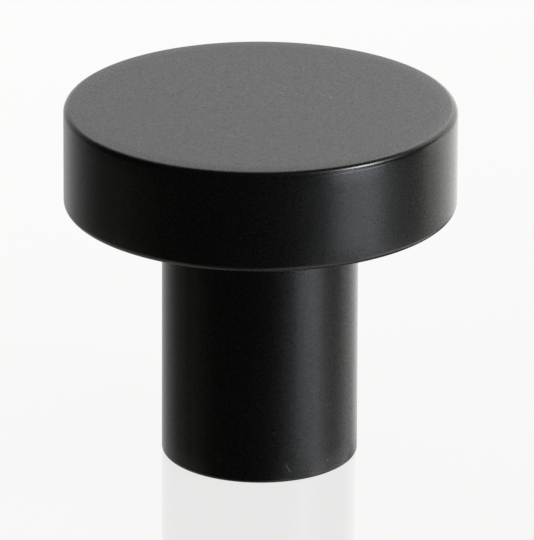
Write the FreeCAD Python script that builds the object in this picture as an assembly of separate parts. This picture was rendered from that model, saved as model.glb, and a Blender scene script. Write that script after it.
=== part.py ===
# A cabinet knob turned in one piece: a flat round head on a thick straight stem, with a tapped
# screw hole in the end of the stem.
#
# The knob stands on the end of its stem. The origin is the centre of that seat, the face that
# meets the drawer or door front, and +Z runs along the stem to the face of the head.
# Every length is in millimetres and every angle in degrees.

import FreeCAD, Part

import math
import os

# Head
HEAD_DIAMETER = 30.0
HEAD_THICKNESS = 8.0
FACE_EDGE_RADIUS = 0.5
BACK_EDGE_RADIUS = 0.5
# Polishing rolls the face down a little in a narrow band just inside its edge.
FACE_ROLLOFF_WIDTH = 1.6
FACE_ROLLOFF_DROP = 0.06

# Stem
STEM_DIAMETER = 15.0
STEM_LENGTH = 20.0
SEAT_EDGE_RADIUS = 0.3

# Blind screw hole, drilled for an M4 thread
THREAD_DIAMETER = 4.0
THREAD_PITCH = 0.7
HOLE_DEPTH = 14.0
DRILL_POINT_ANGLE = 118.0
COUNTERSINK_MARGIN = 0.2
COUNTERSINK_ANGLE = 90.0
CUTTER_OVERRUN = 1.0

AXIS_POINT = FreeCAD.Vector(0, 0, 0)
AXIS = FreeCAD.Vector(0, 0, 1)


def at(radius, height):
    """A point of the half section, at this distance from the axis and height above the seat."""
    return FreeCAD.Vector(radius, 0, height)


def line(start, end):
    return Part.LineSegment(start, end).toShape()


def arc(centre, radius, start_angle, end_angle):
    """An arc of the half section. An angle of 0 points away from the axis and 90 points up."""
    def on_circle(angle):
        turn = math.radians(angle)
        return centre + radius * at(math.cos(turn), math.sin(turn))

    middle_angle = (start_angle + end_angle) / 2
    return Part.Arc(on_circle(start_angle), on_circle(middle_angle), on_circle(end_angle)).toShape()


def revolve(edges):
    """Turns a closed half section a full circle around the knob's axis."""
    return Part.Face(Part.Wire(edges)).revolve(AXIS_POINT, AXIS, 360)


def turned_blank():
    """Head and stem, from the middle of the seat outwards and up to the middle of the face."""
    head_radius = HEAD_DIAMETER / 2
    stem_radius = STEM_DIAMETER / 2
    back_height = STEM_LENGTH
    face_height = STEM_LENGTH + HEAD_THICKNESS

    seat_edge = at(stem_radius - SEAT_EDGE_RADIUS, SEAT_EDGE_RADIUS)
    back_edge = at(head_radius - BACK_EDGE_RADIUS, back_height + BACK_EDGE_RADIUS)

    # The roll-off is an arc that leaves the flat face level and meets the edge arc at this slope.
    rolloff_radius = (FACE_ROLLOFF_WIDTH**2 + FACE_ROLLOFF_DROP**2) / (2 * FACE_ROLLOFF_DROP)
    rolloff_angle = math.degrees(math.asin(FACE_ROLLOFF_WIDTH / rolloff_radius))
    edge_start = 90 - rolloff_angle
    edge_height = face_height - FACE_ROLLOFF_DROP - FACE_EDGE_RADIUS * math.sin(math.radians(edge_start))
    face_edge = at(head_radius - FACE_EDGE_RADIUS, edge_height)
    flat_radius = face_edge.x + FACE_EDGE_RADIUS * math.cos(math.radians(edge_start)) - FACE_ROLLOFF_WIDTH
    rolloff = at(flat_radius, face_height - rolloff_radius)

    return revolve([
        line(at(0, 0), at(seat_edge.x, 0)),
        arc(seat_edge, SEAT_EDGE_RADIUS, -90, 0),
        line(at(stem_radius, seat_edge.z), at(stem_radius, back_height)),
        line(at(stem_radius, back_height), at(back_edge.x, back_height)),
        arc(back_edge, BACK_EDGE_RADIUS, -90, 0),
        line(at(head_radius, back_edge.z), at(head_radius, face_edge.z)),
        arc(face_edge, FACE_EDGE_RADIUS, 0, edge_start),
        arc(rolloff, rolloff_radius, edge_start, 90),
        line(at(flat_radius, face_height), at(0, face_height)),
        line(at(0, face_height), at(0, 0)),
    ])


def screw_hole():
    """The tapping drill's hole, with its cone-shaped end and a countersink a little wider than the thread."""
    drill_radius = (THREAD_DIAMETER - THREAD_PITCH) / 2
    mouth_radius = THREAD_DIAMETER / 2 + COUNTERSINK_MARGIN
    countersink_slope = math.tan(math.radians(COUNTERSINK_ANGLE / 2))
    countersink_depth = (mouth_radius - drill_radius) / countersink_slope
    point_length = drill_radius / math.tan(math.radians(DRILL_POINT_ANGLE / 2))
    overrun_radius = mouth_radius + CUTTER_OVERRUN * countersink_slope

    outline = [
        at(0, -CUTTER_OVERRUN),
        at(overrun_radius, -CUTTER_OVERRUN),
        at(drill_radius, countersink_depth),
        at(drill_radius, HOLE_DEPTH),
        at(0, HOLE_DEPTH + point_length),
    ]
    return revolve([line(outline[i - 1], outline[i]) for i in range(len(outline))])


def knob_body():
    return turned_blank().cut(screw_hole())


os.makedirs("parts", exist_ok=True)
body = knob_body()
body.exportStep("parts/knob_body.step")
print("knob_body: valid", body.isValid(), "solids", len(body.Solids), "volume", round(body.Volume, 1), "mm3")
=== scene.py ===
import math

import bmesh
import bpy
import numpy as np
from bpy.props import FloatProperty, FloatVectorProperty, IntProperty, PointerProperty
from mathutils import Matrix, Vector


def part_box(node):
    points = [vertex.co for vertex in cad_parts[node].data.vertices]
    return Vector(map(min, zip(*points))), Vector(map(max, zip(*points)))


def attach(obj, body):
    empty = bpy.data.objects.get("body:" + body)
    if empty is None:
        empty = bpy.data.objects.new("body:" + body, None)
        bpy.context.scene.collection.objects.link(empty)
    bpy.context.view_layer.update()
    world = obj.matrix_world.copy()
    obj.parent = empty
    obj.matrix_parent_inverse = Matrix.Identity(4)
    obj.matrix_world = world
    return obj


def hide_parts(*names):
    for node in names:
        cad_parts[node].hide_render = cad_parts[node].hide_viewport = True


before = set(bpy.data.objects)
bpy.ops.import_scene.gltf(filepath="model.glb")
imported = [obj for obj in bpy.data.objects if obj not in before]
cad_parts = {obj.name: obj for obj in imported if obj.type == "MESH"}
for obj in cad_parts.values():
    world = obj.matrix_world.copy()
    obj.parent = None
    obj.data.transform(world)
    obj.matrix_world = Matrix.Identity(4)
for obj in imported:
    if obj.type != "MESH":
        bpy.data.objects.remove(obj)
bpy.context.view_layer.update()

bl_info = {
    "name": "Cabinet Knob",
    "version": (1, 0, 0),
    "blender": (4, 5, 0),
    "location": "3D View > Sidebar > Knob",
    "description": "Makes a turned cabinet knob with a satin black coat, and a small studio to show it in",
    "category": "Object",
}

BODY_NODE = "knob_body"
BODY_LOW, BODY_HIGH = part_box(BODY_NODE)

# The picture's frame, and the pixel where the middle of the knob's axis lies in it
PICTURE_WIDTH = 534
PICTURE_HEIGHT = 540
KNOB_PIXEL = (260.06, 277.4)
# The width of the camera's sensor in millimetres, and how far the camera sees in metres
SENSOR_SIZE = 36.0
SIGHT_LIMIT = 10.0

# The thread's groove, as shares of its pitch: half the width of its flat bottom, its depth, and where
# its middle lies in a turn. Each of its sides leans by the flank angle.
HALF_ROOT = 1 / 16
GROOVE_DEPTH = 0.5
GROOVE_MIDDLE = 0.5
FLANK_ANGLE = math.radians(30)
# The tap's taper brings the thread to nothing over this many pitches.
TAP_LEAD = 2

# The coat and the clear layer over it bend light alike.
COAT_IOR = 1.5
# The coat's soft noise: how many finer layers it has, how strong they are, and the part of its range
# over which the grain goes from dark to light
NOISE_DETAIL = 1.0
NOISE_ROUGHNESS = 0.6
GRAIN_RANGE = (0.35, 0.65)

# Turning marks: noise cells in one radian around the axis, the noise's range, the power that leaves
# only its strongest cells, and the share of their reach at which the marks start to fade
ARCS_PER_RADIAN = 5.0
ARC_RANGE = (0.2, 0.8)
ARC_POWER = 9
ARC_FADE_START = 0.5

# Small marks on the coat: start, end, width, strength and depth, with every length in metres.
# A mark with a strength of 1 has the mark's colour. Its depth is pressed into the coat, and the clear
# layer is broken wherever there is a mark. A mark is at its full strength up to MARK_CORE of its width.
MARK_COLOUR = (0.30, 0.30, 0.30, 1.0)
MARK_CORE = 0.4
SURFACE_MARKS = (
    ((0.00203, -0.00722, 0.00146), (0.00238, -0.00711, 0.00084), 0.00006, 0.13, 0.000004),
    ((-0.00335, -0.00671, 0.00222), (-0.00297, -0.00689, 0.00163), 0.00006, 0.015, 0.0),
    ((0.00227, -0.00715, 0.00642), (0.00258, -0.00704, 0.00606), 0.00006, 0.07, 0.0),
    ((-0.00619, -0.00423, 0.00393), (-0.00588, -0.00465, 0.00344), 0.00007, 0.0, 0.000012),
    ((0.00110, -0.00742, 0.00415), (0.00110, -0.00742, 0.00412), 0.00007, 0.08, 0.0),
    ((0.00114, -0.00741, 0.01168), (0.00114, -0.00741, 0.01165), 0.00007, 0.09, 0.0),
    ((0.00536, -0.00524, 0.00507), (0.00536, -0.00524, 0.00504), 0.00006, 0.3, 0.0),
    ((0.00523, -0.00537, 0.00114), (0.00523, -0.00537, 0.00111), 0.00006, 0.5, 0.0),
)

# The coat reaches this far into the hole, and thins out to bare metal over this width.
COAT_END = 0.0004
COAT_END_WIDTH = 0.0006

LAMP_DISTANCE = 1.0
# Each lamp's name, azimuth from the camera's side round to the right, elevation, width, height,
# brightness and colour, with angles in degrees and lengths in metres
LAMPS = (
    ("right_panel", 57.9, -7.2, 0.50, 0.31, 4.85, (0.94, 1.0, 1.10)),
    ("middle_panel", 54.5, 20.0, 0.28, 0.36, 3.2, (1.0, 1.0, 1.0)),
    ("upper_strip", 74.5, 45.5, 0.18, 0.22, 37.0, (1.0, 1.0, 1.0)),
    ("lower_panel", 99.0, -34.5, 1.15, 0.37, 1.0, (1.0, 1.0, 1.0)),
    ("front_panel", 57.1, -51.0, 1.03, 0.86, 0.60, (1.0, 1.0, 1.0)),
    ("side_panel", 119.5, -3.5, 0.34, 0.54, 1.22, (1.0, 1.0, 0.95)),
    ("back_panel", 151.0, 10.3, 0.87, 1.31, 0.99, (1.0, 1.0, 0.98)),
    ("upper_left", 203.0, 46.0, 0.60, 0.62, 0.98, (0.98, 0.97, 1.05)),
    ("left_panel", 256.4, -47.0, 1.23, 0.70, 0.145, (1.0, 1.0, 0.85)),
    ("under_left", 250.0, -60.4, 1.0, 1.52, 0.16, (1.0, 1.0, 0.9)),
    ("under_front", 350.0, -68.0, 1.60, 1.10, 0.06, (1.0, 1.0, 0.93)),
)
# The backdrop's brightness falls with this power of the cosine of the angle from its middle.
BACKDROP_FADE = 5.0
WHITE = (1.0, 1.0, 1.0, 1.0)

FLOOR_WIDTH = 4.0
FLOOR_ROUGHNESS = 0.03
FLOOR_IOR = 1.9
# The floor lies this little below the seat, because faces in one plane would show through each other.
FLOOR_GAP = 0.000002

# Points of the mesh closer than this are one point, and faces that meet at more than this angle
# have a sharp edge between them.
WELD_DISTANCE = 2e-7
SHARP_CORNER = math.radians(30)


class KnobSizes(bpy.types.PropertyGroup):
    """The turned form of the knob."""

    head_diameter: FloatProperty(
        name="Head diameter", description="Width of the round head",
        default=2 * BODY_HIGH[0], min=0.01, max=0.1, unit="LENGTH", precision=5,
    )
    height: FloatProperty(
        name="Height", description="From the end of the stem to the face of the head",
        default=BODY_HIGH[2] - BODY_LOW[2], min=0.01, max=0.1, unit="LENGTH", precision=5,
    )
    head_thickness: FloatProperty(
        name="Head thickness", description="Height of the head above its back",
        default=0.008, min=0.002, max=0.03, unit="LENGTH", precision=5,
    )
    stem_diameter: FloatProperty(
        name="Stem diameter", description="Width of the straight stem",
        default=0.015, min=0.006, max=0.05, unit="LENGTH", precision=5,
    )
    face_edge_radius: FloatProperty(
        name="Face edge radius", description="Rounding between the face and the side of the head",
        default=0.0005, min=0.0001, max=0.002, unit="LENGTH", precision=5,
    )
    back_edge_radius: FloatProperty(
        name="Back edge radius", description="Rounding between the side and the back of the head",
        default=0.0005, min=0.0001, max=0.002, unit="LENGTH", precision=5,
    )
    rolloff_width: FloatProperty(
        name="Roll-off width", description="Band inside the face's edge that polishing has rolled down",
        default=0.0012, min=0.0002, max=0.005, unit="LENGTH", precision=5,
    )
    rolloff_drop: FloatProperty(
        name="Roll-off drop", description="How far the rolled band falls below the face",
        default=0.00003, min=0.000001, max=0.0005, unit="LENGTH", precision=6,
    )
    neck_radius: FloatProperty(
        name="Neck radius", description="Fillet between the stem and the back of the head",
        default=0.0002, min=0.0001, max=0.003, unit="LENGTH", precision=5,
    )
    seat_edge_radius: FloatProperty(
        name="Seat edge radius", description="Rounding at the foot of the stem",
        default=0.0003, min=0.0001, max=0.002, unit="LENGTH", precision=5,
    )
    columns: IntProperty(
        name="Columns", description="Steps around the knob", default=256, min=32, max=512,
    )


class HoleSizes(bpy.types.PropertyGroup):
    """The tapped screw hole in the end of the stem."""

    thread_diameter: FloatProperty(
        name="Thread diameter", description="Widest part of the thread in the hole",
        default=0.004, min=0.002, max=0.008, unit="LENGTH", precision=5,
    )
    thread_pitch: FloatProperty(
        name="Thread pitch", description="Rise of the thread in one turn",
        default=0.0007, min=0.0003, max=0.0015, unit="LENGTH", precision=5,
    )
    thread_depth: FloatProperty(
        name="Thread depth", description="How far up the hole the thread has its full depth",
        default=0.011, min=0.002, max=0.03, unit="LENGTH", precision=5,
    )
    hole_depth: FloatProperty(
        name="Hole depth", description="Depth of the drilled hole, without its point",
        default=0.014, min=0.004, max=0.04, unit="LENGTH", precision=5,
    )
    point_angle: FloatProperty(
        name="Point angle", description="Angle of the cone at the end of the hole",
        default=math.radians(118), min=math.radians(60), max=math.radians(170), subtype="ANGLE",
    )
    countersink_margin: FloatProperty(
        name="Countersink margin", description="How much wider than the thread the mouth is, on each side",
        default=0.0002, min=0.0, max=0.002, unit="LENGTH", precision=5,
    )


class CoatLook(bpy.types.PropertyGroup):
    """The satin black coat and the bare metal of the thread."""

    dark_colour: FloatVectorProperty(
        name="Dark coat colour", description="Colour of the coat's darkest grains",
        default=(0.0003, 0.0008, 0.0002), size=3, min=0.0, max=1.0, subtype="COLOR",
    )
    light_colour: FloatVectorProperty(
        name="Light coat colour", description="Colour of the coat's lightest grains",
        default=(0.0027, 0.0036, 0.0020), size=3, min=0.0, max=1.0, subtype="COLOR",
    )
    roughness: FloatProperty(
        name="Coat roughness", description="How widely the coat spreads a reflection",
        default=0.25, min=0.0, max=1.0, subtype="FACTOR",
    )
    clear_roughness: FloatProperty(
        name="Clear layer roughness",
        description="How widely the clear layer over the coat spreads a reflection",
        default=0.32, min=0.0, max=1.0, subtype="FACTOR",
    )
    grain_size: FloatProperty(
        name="Grain size", description="Width of the coat's fine grains",
        default=0.00011, min=0.00002, max=0.001, unit="LENGTH", precision=6,
    )
    grain_height: FloatProperty(
        name="Grain height", description="Height of the coat's fine grains",
        default=0.000005, min=0.0, max=0.00005, unit="LENGTH", precision=7,
    )
    mottle_size: FloatProperty(
        name="Mottle size", description="Width of the soft unevenness under the grain",
        default=0.0015, min=0.0002, max=0.01, unit="LENGTH", precision=5,
    )
    mottle_height: FloatProperty(
        name="Mottle height", description="Height of the soft unevenness under the grain",
        default=0.000004, min=0.0, max=0.00005, unit="LENGTH", precision=7,
    )
    turning_pitch: FloatProperty(
        name="Turning mark pitch", description="Width of the faint turning marks on the face",
        default=0.00018, min=0.00005, max=0.002, unit="LENGTH", precision=6,
    )
    turning_reach: FloatProperty(
        name="Turning mark reach", description="How far from the axis the turning marks reach",
        default=0.0115, min=0.001, max=0.05, unit="LENGTH", precision=5,
    )
    turning_gloss: FloatProperty(
        name="Turning mark gloss",
        description="How much the turning marks change the weight of the clear layer",
        default=0.42, min=0.0, max=2.0,
    )
    gloss_low: FloatProperty(
        name="Lowest gloss", description="Weight of the clear layer in the dullest grains",
        default=0.20, min=0.0, max=1.0, subtype="FACTOR",
    )
    gloss_high: FloatProperty(
        name="Highest gloss", description="Weight of the clear layer in the glossiest grains",
        default=0.70, min=0.0, max=1.0, subtype="FACTOR",
    )
    metal_colour: FloatVectorProperty(
        name="Metal colour", description="Colour of the bare metal in the thread",
        default=(0.55, 0.54, 0.52), size=3, min=0.0, max=1.0, subtype="COLOR",
    )
    metal_roughness: FloatProperty(
        name="Metal roughness", description="How widely the bare metal spreads a reflection",
        default=0.35, min=0.0, max=1.0, subtype="FACTOR",
    )


class StudioLook(bpy.types.PropertyGroup):
    """The floor, the light and the camera."""

    camera_distance: FloatProperty(
        name="Camera distance", description="From the camera to the middle of the knob",
        default=0.755, min=0.1, max=5.0, unit="LENGTH",
    )
    camera_elevation: FloatProperty(
        name="Camera elevation", description="Angle of the camera above the horizon",
        default=math.radians(20.8), min=0.0, max=math.radians(90), subtype="ANGLE",
    )
    camera_roll: FloatProperty(
        name="Camera roll", description="Turn of the camera about its line of sight",
        default=math.radians(0.25), min=-math.pi, max=math.pi, subtype="ANGLE",
    )
    lens: FloatProperty(
        name="Lens", description="Focal length of the camera in millimetres",
        default=658.3, min=10.0, max=5000.0, unit="CAMERA",
    )
    floor_glow: FloatVectorProperty(
        name="Floor glow", description="Paleness that the camera sees in the floor, before shade and gloss",
        default=(0.782, 0.782, 0.777), size=3, min=0.0, max=1.0, subtype="COLOR",
    )
    floor_colour: FloatVectorProperty(
        name="Floor colour",
        description="Share of the light that the floor scatters, which carries the shadow",
        default=(0.03, 0.03, 0.03), size=3, min=0.0, max=1.0, subtype="COLOR",
    )
    backdrop_light: FloatProperty(
        name="Backdrop light", description="Brightness of the backdrop behind the knob",
        default=0.955, min=0.0, max=10.0,
    )
    backdrop_azimuth: FloatProperty(
        name="Backdrop azimuth",
        description="Where the backdrop is brightest, from the camera's side round to the right",
        default=math.radians(189.5), min=0.0, max=2 * math.pi, subtype="ANGLE",
    )
    shadow_light: FloatProperty(
        name="Shadow light", description="Brightness of the dark half of the studio",
        default=0.013, min=0.0, max=1.0,
    )
    fill_light: FloatProperty(
        name="Fill light", description="Even light from all round on surfaces that scatter it",
        default=0.6, min=0.0, max=2.0,
    )


def straight(start, end, steps):
    """Points from start to end, evenly spaced, with both ends."""
    share = np.linspace(0.0, 1.0, steps + 1)[:, None]
    return np.array(start) * (1.0 - share) + np.array(end) * share


def arc(centre, radius, start, end, steps):
    """Points on a circle, with its ends at these angles in degrees.

    Each is centre plus radius times (cosine, sine) of an angle, and the angles are evenly spaced.
    """
    angle = np.radians(np.linspace(start, end, steps + 1))
    return np.array(centre) + radius * np.column_stack([np.cos(angle), np.sin(angle)])


def outer_profile(sizes, mouth_radius):
    """The knob's half section outside the hole, from the mouth of the hole to the middle of the face.

    Each point is (distance from the axis, height). Straight runs join arcs at their tangents, and
    the face's rolled band is an arc of a large circle that leaves the flat face level.
    """
    head_radius = sizes.head_diameter / 2
    stem_radius = sizes.stem_diameter / 2
    back = sizes.height - sizes.head_thickness
    face_edge, back_edge = sizes.face_edge_radius, sizes.back_edge_radius
    neck, seat_edge = sizes.neck_radius, sizes.seat_edge_radius

    width, drop = sizes.rolloff_width, sizes.rolloff_drop
    rolloff_radius = (width**2 + drop**2) / (2 * drop)
    slope = math.degrees(math.asin(width / rolloff_radius))
    edge_centre = (
        head_radius - face_edge,
        sizes.height - drop - face_edge * math.cos(math.radians(slope)),
    )
    flat_radius = edge_centre[0] + face_edge * math.sin(math.radians(slope)) - width

    runs = [
        straight((mouth_radius, 0.0), (stem_radius - seat_edge, 0.0), steps=3),
        arc((stem_radius - seat_edge, seat_edge), seat_edge, -90, 0, steps=10),
        straight((stem_radius, seat_edge), (stem_radius, back - neck), steps=12),
        arc((stem_radius + neck, back - neck), neck, 180, 90, steps=10),
        straight((stem_radius + neck, back), (head_radius - back_edge, back), steps=4),
        arc((head_radius - back_edge, back + back_edge), back_edge, -90, 0, steps=16),
        straight((head_radius, back + back_edge), (head_radius, edge_centre[1]), steps=6),
        arc(edge_centre, face_edge, 0, 90 - slope, steps=16),
        arc((flat_radius, sizes.height - rolloff_radius), rolloff_radius, 90 - slope, 90, steps=10),
        straight((flat_radius, sizes.height), (0.0, sizes.height), steps=8),
    ]
    return np.concatenate([run[:-1] for run in runs[:-1]] + [runs[-1]])


def drill_radius(hole):
    """Radius of the drilled hole, which leaves room for the depth of the thread's groove."""
    return hole.thread_diameter / 2 - GROOVE_DEPTH * hole.thread_pitch


def thread_top(hole):
    """Height at which the tap's taper has brought the thread to nothing."""
    return hole.thread_depth + TAP_LEAD * hole.thread_pitch


def hole_radius(hole, height, turn):
    """Radius of the tapped hole at this height and turn, the widest of three cutters.

    The drill gives a plain wall. The tap cuts a groove with sides at 60 degrees to each other that
    rises one pitch a turn, and its taper makes the groove shallower above the thread's full depth.
    The countersink is a cone at 45 degrees that opens to the mouth.
    """
    drill = drill_radius(hole)
    depth = GROOVE_DEPTH * hole.thread_pitch
    taper = np.clip((height - hole.thread_depth) / (TAP_LEAD * hole.thread_pitch), 0.0, 1.0)
    phase = np.mod(height / hole.thread_pitch - turn, 1.0)
    past_root = (np.abs(phase - GROOVE_MIDDLE) - HALF_ROOT) * hole.thread_pitch
    groove = drill + depth * (1.0 - taper) - np.maximum(past_root, 0.0) / math.tan(FLANK_ANGLE)
    countersink = hole.thread_diameter / 2 + hole.countersink_margin - height
    return np.maximum(np.maximum(drill, groove), countersink)


def thread_grid(hole, turns):
    """Heights of the hole's wall on a grid that follows the thread.

    Rows run down the hole and columns go once around it. A row rises one pitch in one turn, so that
    the groove's corners lie on rows: height = pitch * (row + turn), held between the top of the
    thread and the mouth.
    """
    half_groove = HALF_ROOT + GROOVE_DEPTH * math.tan(FLANK_ANGLE)
    groove = GROOVE_MIDDLE + np.array([-half_groove, -HALF_ROOT, HALF_ROOT, half_groove])
    corners = np.concatenate([[0.0], groove])
    between = (corners + np.append(groove, 1.0)) / 2
    phases = np.sort(np.concatenate([corners, between]))
    top = thread_top(hole)
    whole_turns = np.arange(math.ceil(top / hole.thread_pitch), -2, -1)
    rows = (whole_turns[:, None] + phases[None, ::-1]).ravel()
    height = hole.thread_pitch * (rows[:, None] + turns[None, :])
    return np.clip(height, 0.0, top)


def knob_surface(sizes, hole):
    """The whole skin of the knob as one grid of points, and a mask that is 1 on the hole's bare metal.

    Each row goes once around the axis. The rows start at the tip of the hole, run down its wall and
    out of its mouth, and then follow the outer profile to the middle of the face. The mask is
    (height - start) / width, held between 0 and 1, so that the coat ends a little way into the hole.
    """
    turns = np.linspace(0.0, 1.0, sizes.columns + 1)
    drill = drill_radius(hole)
    tip = hole.hole_depth + drill / math.tan(hole.point_angle / 2)

    point = straight((0.0, tip), (drill, hole.hole_depth), steps=4)
    wall = straight((drill, hole.hole_depth), (drill, thread_top(hole)), steps=2)[1:-1]
    above = np.concatenate([point, wall])
    wall_heights = thread_grid(hole, turns)
    wall_radii = hole_radius(hole, wall_heights, turns[None, :])
    outside = outer_profile(sizes, hole.thread_diameter / 2 + hole.countersink_margin)[1:]

    around = np.ones_like(turns)[None, :]
    radii = np.concatenate([above[:, :1] * around, wall_radii, outside[:, :1] * around])
    heights = np.concatenate([above[:, 1:] * around, wall_heights, outside[:, 1:] * around])
    angle = 2 * math.pi * turns[None, :]
    points = np.stack([radii * np.cos(angle), radii * np.sin(angle), heights], axis=-1)
    bare = np.clip((heights - COAT_END) / COAT_END_WIDTH, 0.0, 1.0)
    bare[len(above) + len(wall_heights) :] = 0.0
    return points, bare


def add_object(name, data):
    """An object that holds this data, linked into the scene."""
    made = bpy.data.objects.new(name, data)
    bpy.context.scene.collection.objects.link(made)
    return made


def grid_object(name, points, masks):
    """A closed smooth mesh from a grid of points, with its repeated points welded."""
    rows, columns = points.shape[:2]
    index = np.arange(rows * columns).reshape(rows, columns)
    faces = np.stack([index[:-1, :-1], index[:-1, 1:], index[1:, 1:], index[1:, :-1]], axis=-1)
    mesh = bpy.data.meshes.new(name)
    mesh.from_pydata(points.reshape(-1, 3), [], faces.reshape(-1, 4))
    for mask_name, values in masks.items():
        layer = mesh.attributes.new(mask_name, "FLOAT", "POINT")
        layer.data.foreach_set("value", values.ravel())
    welded = bmesh.new()
    welded.from_mesh(mesh)
    bmesh.ops.remove_doubles(welded, verts=welded.verts, dist=WELD_DISTANCE)
    bmesh.ops.recalc_face_normals(welded, faces=welded.faces)
    welded.to_mesh(mesh)
    welded.free()
    mesh.shade_smooth()
    mesh.set_sharp_from_angle(angle=SHARP_CORNER)
    return add_object(name, mesh)


def add_node(tree, kind, inputs=None, **settings):
    """A shader node with its settings, and with each input linked to a socket or set to a constant."""
    made = tree.nodes.new(kind)
    for name, value in settings.items():
        setattr(made, name, value)
    for name, value in (inputs or {}).items():
        if isinstance(value, bpy.types.NodeSocket):
            tree.links.new(value, made.inputs[name])
        else:
            made.inputs[name].default_value = value
    return made


def calculate(tree, operation, *values):
    """The result of a Math node over these numbers and sockets."""
    return add_node(tree, "ShaderNodeMath", dict(enumerate(values)), operation=operation).outputs[0]


def total(tree, *values):
    """The sum of these sockets."""
    result = values[0]
    for value in values[1:]:
        result = calculate(tree, "ADD", result, value)
    return result


def vector_math(tree, operation, *values, **named):
    """The output sockets of a Vector Math node over these vectors and sockets."""
    inputs = {**dict(enumerate(values)), **named}
    return add_node(tree, "ShaderNodeVectorMath", inputs, operation=operation).outputs


def map_range(tree, value, start, end, lowest=0.0, **settings):
    """Lowest where the value is start and 1 where it is end, and held there beyond them."""
    return add_node(tree, "ShaderNodeMapRange", {
        "Value": value,
        "From Min": start,
        "From Max": end,
        "To Min": lowest,
    }, **settings).outputs["Result"]


def soft_step(tree, value, start, end):
    """0 at start and 1 at end, with a smooth rise between."""
    return map_range(tree, value, start, end, interpolation_type="SMOOTHSTEP")


def clamp(tree, value):
    """The value held between 0 and 1."""
    return add_node(tree, "ShaderNodeClamp", {"Value": value}).outputs["Result"]


# The sockets of a Mix node share their names, so these two go by their numbers.
def mix_numbers(tree, share, first, second):
    """The first number where share is 0 and the second where it is 1."""
    return add_node(tree, "ShaderNodeMix", {0: share, 2: first, 3: second}).outputs[0]


def mix_colours(tree, share, first, second):
    """The first colour where share is 0 and the second where it is 1."""
    inputs = {0: share, 6: first, 7: second}
    return add_node(tree, "ShaderNodeMix", inputs, data_type="RGBA").outputs[2]


def mix_shaders(tree, share, first, second):
    """The first shader where share is 0 and the second where it is 1."""
    return add_node(tree, "ShaderNodeMixShader", {0: share, 1: first, 2: second}).outputs[0]


def start_material(name):
    """A new material, with its empty node tree."""
    material = bpy.data.materials.new(name)
    material.use_nodes = True
    material.node_tree.nodes.clear()
    return material, material.node_tree


def start_group(name, inputs, outputs):
    """An empty node group, with its input node's sockets by name and its output node."""
    tree = bpy.data.node_groups.new(name, "ShaderNodeTree")
    for socket, kind in inputs.items():
        tree.interface.new_socket(socket, in_out="INPUT", socket_type=kind)
    for socket, kind in outputs.items():
        tree.interface.new_socket(socket, in_out="OUTPUT", socket_type=kind)
    return tree, add_node(tree, "NodeGroupInput").outputs, add_node(tree, "NodeGroupOutput")


def unevenness_group():
    """Soft noise in the coat: its Height is from 0 to 1, and its bumps are as wide as Size."""
    tree, given, result = start_group(
        "coat_unevenness",
        {"Size": "NodeSocketFloat", "Detail": "NodeSocketFloat"},
        {"Height": "NodeSocketFloat"},
    )
    place = add_node(tree, "ShaderNodeTexCoord").outputs["Object"]
    noise = add_node(tree, "ShaderNodeTexNoise", {
        "Vector": place,
        "Scale": calculate(tree, "DIVIDE", 1.0, given["Size"]),
        "Detail": given["Detail"],
        "Roughness": NOISE_ROUGHNESS,
    })
    tree.links.new(noise.outputs["Fac"], result.inputs["Height"])
    return tree


def turning_group():
    """Short arcs left by the lathe tool round the middle of the face, from -1 for dull to 1 for bright.

    The noise is read at the direction from the axis and at the distance from it divided by Pitch, so
    its cells are long around the axis and thin across. A high odd power leaves only the strongest
    cells, with their signs, and they fade out towards Reach.
    """
    tree, given, result = start_group(
        "turning_marks",
        {"Pitch": "NodeSocketFloat", "Reach": "NodeSocketFloat"},
        {"Strength": "NodeSocketFloat"},
    )
    place = add_node(tree, "ShaderNodeTexCoord").outputs["Object"]
    from_axis = vector_math(tree, "MULTIPLY", place, (1.0, 1.0, 0.0))["Vector"]
    radius = vector_math(tree, "LENGTH", from_axis)["Value"]
    direction = vector_math(tree, "NORMALIZE", from_axis)["Vector"]
    around = vector_math(tree, "SCALE", direction, Scale=ARCS_PER_RADIAN)["Vector"]
    across = add_node(tree, "ShaderNodeCombineXYZ", {
        "Z": calculate(tree, "DIVIDE", radius, given["Pitch"]),
    }).outputs["Vector"]
    noise = add_node(tree, "ShaderNodeTexNoise", {
        "Vector": vector_math(tree, "ADD", around, across)["Vector"],
        "Scale": 1.0,
        "Detail": 0.0,
    }).outputs["Fac"]
    centred = map_range(tree, noise, *ARC_RANGE, lowest=-1.0)
    square = calculate(tree, "MULTIPLY", centred, centred)
    even_power = calculate(tree, "POWER", square, (ARC_POWER - 1) / 2)
    strongest = calculate(tree, "MULTIPLY", centred, even_power)
    share = calculate(tree, "DIVIDE", radius, given["Reach"])
    fade = soft_step(tree, share, 1.0, ARC_FADE_START)
    tree.links.new(calculate(tree, "MULTIPLY", strongest, fade), result.inputs["Strength"])
    return tree


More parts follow.
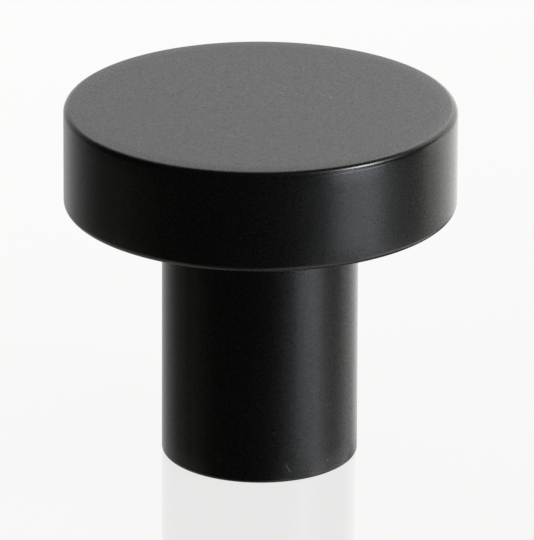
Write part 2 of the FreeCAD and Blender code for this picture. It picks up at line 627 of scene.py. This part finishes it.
def scratch_group():
    """A straight mark between two points: 1 on their line, falling smoothly to 0 at Width from it.

    With s = dot(point - start, end - start) / |end - start| squared, held between 0 and 1, the
    distance from the line is |point - start - s * (end - start)|.
    """
    tree, given, result = start_group(
        "surface_mark",
        {"Start": "NodeSocketVector", "End": "NodeSocketVector", "Width": "NodeSocketFloat"},
        {"Mask": "NodeSocketFloat"},
    )
    place = add_node(tree, "ShaderNodeTexCoord").outputs["Object"]
    offset = vector_math(tree, "SUBTRACT", place, given["Start"])["Vector"]
    run = vector_math(tree, "SUBTRACT", given["End"], given["Start"])["Vector"]
    along = vector_math(tree, "DOT_PRODUCT", offset, run)["Value"]
    whole = vector_math(tree, "DOT_PRODUCT", run, run)["Value"]
    share = clamp(tree, calculate(tree, "DIVIDE", along, whole))
    nearest = vector_math(tree, "SCALE", run, Scale=share)["Vector"]
    distance = vector_math(tree, "DISTANCE", offset, nearest)["Value"]
    near = calculate(tree, "DIVIDE", distance, given["Width"])
    tree.links.new(soft_step(tree, near, 1.0, MARK_CORE), result.inputs["Mask"])
    return tree


def add_group(tree, group, **inputs):
    """The first output of a node group placed in this tree."""
    made = add_node(tree, "ShaderNodeGroup", node_tree=group)
    for name, value in inputs.items():
        made.inputs[name].default_value = value
    return made.outputs[0]


def coat_material(look):
    """Satin black coat over the whole knob, with bare metal in the thread."""
    material, tree = start_material("satin_black_coat")
    unevenness, turning, scratch = unevenness_group(), turning_group(), scratch_group()

    grain = add_group(tree, unevenness, Size=look.grain_size, Detail=NOISE_DETAIL)
    mottle = add_group(tree, unevenness, Size=look.mottle_size, Detail=NOISE_DETAIL)
    arcs = add_group(tree, turning, Pitch=look.turning_pitch, Reach=look.turning_reach)
    contrast = map_range(tree, grain, *GRAIN_RANGE)
    tones, cuts, marks = [], [], []
    for start, end, width, strength, depth in SURFACE_MARKS:
        mark = add_group(tree, scratch, Start=start, End=end, Width=width)
        marks.append(mark)
        tones.append(calculate(tree, "MULTIPLY", mark, strength))
        cuts.append(calculate(tree, "MULTIPLY", mark, -depth))
    height = total(
        tree,
        calculate(tree, "MULTIPLY", grain, look.grain_height),
        calculate(tree, "MULTIPLY", mottle, look.mottle_height),
        *cuts,
    )
    bump = add_node(tree, "ShaderNodeBump", {"Height": height, "Distance": 1.0, "Strength": 1.0})

    bare = add_node(tree, "ShaderNodeAttribute", attribute_name="bare_metal").outputs["Fac"]
    speckled = mix_colours(tree, contrast, (*look.dark_colour, 1.0), (*look.light_colour, 1.0))
    marked = mix_colours(tree, total(tree, *tones), speckled, MARK_COLOUR)
    colour = mix_colours(tree, bare, marked, (*look.metal_colour, 1.0))
    roughness = mix_numbers(tree, bare, look.roughness, look.metal_roughness)
    gloss = mix_numbers(tree, contrast, look.gloss_low, look.gloss_high)
    turned = total(tree, gloss, calculate(tree, "MULTIPLY", arcs, look.turning_gloss))
    broken = clamp(tree, total(tree, bare, *marks))
    whole = calculate(tree, "SUBTRACT", 1.0, broken)
    clear = calculate(tree, "MULTIPLY", clamp(tree, turned), whole)
    shader = add_node(tree, "ShaderNodeBsdfPrincipled", {
        "Base Color": colour,
        "Metallic": bare,
        "Roughness": roughness,
        "IOR": COAT_IOR,
        "Coat Weight": clear,
        "Coat Roughness": look.clear_roughness,
        "Coat IOR": COAT_IOR,
        "Normal": bump.outputs["Normal"],
    })
    add_node(tree, "ShaderNodeOutputMaterial", {"Surface": shader.outputs["BSDF"]})
    return material


class KNOB_OT_make_body(bpy.types.Operator):
    """Makes the turned knob with its tapped hole and its coat"""

    bl_idname = "knob.make_body"
    bl_label = "Make knob"

    def execute(self, context):
        scene = context.scene
        points, bare = knob_surface(scene.knob_sizes, scene.knob_hole)
        body = grid_object("turned_knob", points, {"bare_metal": bare})
        body.data.materials.append(coat_material(scene.knob_coat))
        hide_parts(BODY_NODE)
        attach(body, "root")
        return {"FINISHED"}


def place_camera(studio, middle):
    """Puts the camera on a sphere around the knob and turns it so that the knob lies at its pixel."""
    elevation = studio.camera_elevation
    outward = Vector((0.0, -math.cos(elevation), math.sin(elevation)))
    right = Vector((1.0, 0.0, 0.0))
    up = outward.cross(right)
    pixel = SENSOR_SIZE / PICTURE_HEIGHT * studio.camera_distance / studio.lens
    aim = middle + right * (PICTURE_WIDTH / 2 - KNOB_PIXEL[0]) * pixel
    aim = aim + up * (KNOB_PIXEL[1] - PICTURE_HEIGHT / 2) * pixel
    place = middle + outward * studio.camera_distance

    data = bpy.data.cameras.new("camera")
    data.lens = studio.lens
    data.sensor_width = SENSOR_SIZE
    data.clip_end = SIGHT_LIMIT
    camera = add_object("camera", data)
    turn = (place - aim).to_track_quat("Z", "Y").to_matrix() @ Matrix.Rotation(studio.camera_roll, 3, "Z")
    camera.matrix_world = Matrix.Translation(place) @ turn.to_4x4()
    bpy.context.scene.camera = camera


def studio_world(studio):
    """Light from all round: a pale backdrop that fades into the dark half of the studio.

    Its brightness is shadow light + backdrop light * c to the power BACKDROP_FADE, where c is the
    cosine of the angle from the middle of the backdrop, or 0 beyond a right angle from it.
    Scattering surfaces get an even fill instead, and the camera sees plain white.
    """
    world = bpy.data.worlds.new("studio_light")
    world.use_nodes = True
    world.cycles.sampling_method = "NONE"
    tree = world.node_tree
    tree.nodes.clear()
    middle = (math.sin(studio.backdrop_azimuth), -math.cos(studio.backdrop_azimuth), 0.0)
    direction = add_node(tree, "ShaderNodeTexCoord").outputs["Generated"]
    cosine = vector_math(tree, "DOT_PRODUCT", direction, middle)["Value"]
    facing = calculate(tree, "MAXIMUM", cosine, 0.0)
    lobe = calculate(tree, "POWER", facing, BACKDROP_FADE)
    backdrop_light = calculate(tree, "MULTIPLY", lobe, studio.backdrop_light)
    strength = calculate(tree, "ADD", backdrop_light, studio.shadow_light)

    ray = add_node(tree, "ShaderNodeLightPath").outputs
    backdrop, fill, plain = (
        add_node(tree, "ShaderNodeBackground", {"Color": WHITE, "Strength": light}).outputs[0]
        for light in (strength, studio.fill_light, 1.0)
    )
    reached = mix_shaders(tree, ray["Is Diffuse Ray"], backdrop, fill)
    seen = mix_shaders(tree, ray["Is Camera Ray"], reached, plain)
    add_node(tree, "ShaderNodeOutputWorld", {"Surface": seen})
    bpy.context.scene.world = world


def floor_material(studio):
    """A pale glossy table top, which only the camera sees, and only from above."""
    material, tree = start_material("pale_table_top")
    ray = add_node(tree, "ShaderNodeLightPath").outputs
    back = add_node(tree, "ShaderNodeNewGeometry").outputs["Backfacing"]
    shown = calculate(tree, "MULTIPLY", ray["Is Camera Ray"], calculate(tree, "SUBTRACT", 1.0, back))
    top = add_node(tree, "ShaderNodeBsdfPrincipled", {
        "Base Color": (*studio.floor_colour, 1.0),
        "Roughness": FLOOR_ROUGHNESS,
        "IOR": FLOOR_IOR,
        "Emission Color": (*studio.floor_glow, 1.0),
        "Emission Strength": 1.0,
    }).outputs["BSDF"]
    clear = add_node(tree, "ShaderNodeBsdfTransparent").outputs["BSDF"]
    add_node(tree, "ShaderNodeOutputMaterial", {"Surface": mix_shaders(tree, shown, clear, top)})
    return material


def place_floor(studio):
    """A flat square under the knob."""
    half = FLOOR_WIDTH / 2
    corners = [(x * half, y * half, -FLOOR_GAP) for x, y in ((-1, -1), (1, -1), (1, 1), (-1, 1))]
    mesh = bpy.data.meshes.new("floor")
    mesh.from_pydata(corners, [], [(0, 1, 2, 3)])
    mesh.materials.append(floor_material(studio))
    floor = add_object("floor", mesh)


def place_lamp(name, azimuth, elevation, width, height, brightness, colour, middle):
    """A rectangular lamp at LAMP_DISTANCE from the knob, facing it, which the camera doesn't see.

    A lamp's power in watts is brightness * pi * area.
    """
    turn, rise = math.radians(azimuth), math.radians(elevation)
    outward = Vector((math.sin(turn) * math.cos(rise), -math.cos(turn) * math.cos(rise), math.sin(rise)))
    data = bpy.data.lights.new(name, "AREA")
    data.shape = "RECTANGLE"
    data.size, data.size_y = width, height
    data.energy = brightness * math.pi * width * height
    data.color = colour
    lamp = add_object(name, data)
    place = Matrix.Translation(middle + LAMP_DISTANCE * outward)
    lamp.matrix_world = place @ outward.to_track_quat("Z", "Y").to_matrix().to_4x4()
    lamp.visible_camera = False


class KNOB_OT_set_studio(bpy.types.Operator):
    """Sets up the floor, the light and the camera"""

    bl_idname = "knob.set_studio"
    bl_label = "Set up studio"

    def execute(self, context):
        studio = context.scene.knob_studio
        middle = Vector((0.0, 0.0, (BODY_LOW[2] + BODY_HIGH[2]) / 2))
        place_camera(studio, middle)
        place_floor(studio)
        studio_world(studio)
        for lamp in LAMPS:
            place_lamp(*lamp, middle)
        context.scene.view_settings.view_transform = "Standard"
        return {"FINISHED"}


class KNOB_PT_sidebar(bpy.types.Panel):
    """Lists the steps that make the knob and its studio"""

    bl_idname = "KNOB_PT_sidebar"
    bl_label = "Cabinet Knob"
    bl_space_type = "VIEW_3D"
    bl_region_type = "UI"
    bl_category = "Knob"

    def draw(self, context):
        layout = self.layout
        for step in STEPS:
            layout.operator(step.bl_idname)


GROUPS = {
    "knob_sizes": KnobSizes,
    "knob_hole": HoleSizes,
    "knob_coat": CoatLook,
    "knob_studio": StudioLook,
}
STEPS = (KNOB_OT_make_body, KNOB_OT_set_studio)


def register():
    for made in (*GROUPS.values(), *STEPS, KNOB_PT_sidebar):
        bpy.utils.register_class(made)
    for name, group in GROUPS.items():
        setattr(bpy.types.Scene, name, PointerProperty(type=group))


def unregister():
    for name in GROUPS:
        delattr(bpy.types.Scene, name)
    for made in (KNOB_PT_sidebar, *reversed(STEPS), *reversed(GROUPS.values())):
        bpy.utils.unregister_class(made)


def main():
    register()
    bpy.ops.knob.make_body()
    bpy.ops.knob.set_studio()


if __name__ == "__main__":
    main()
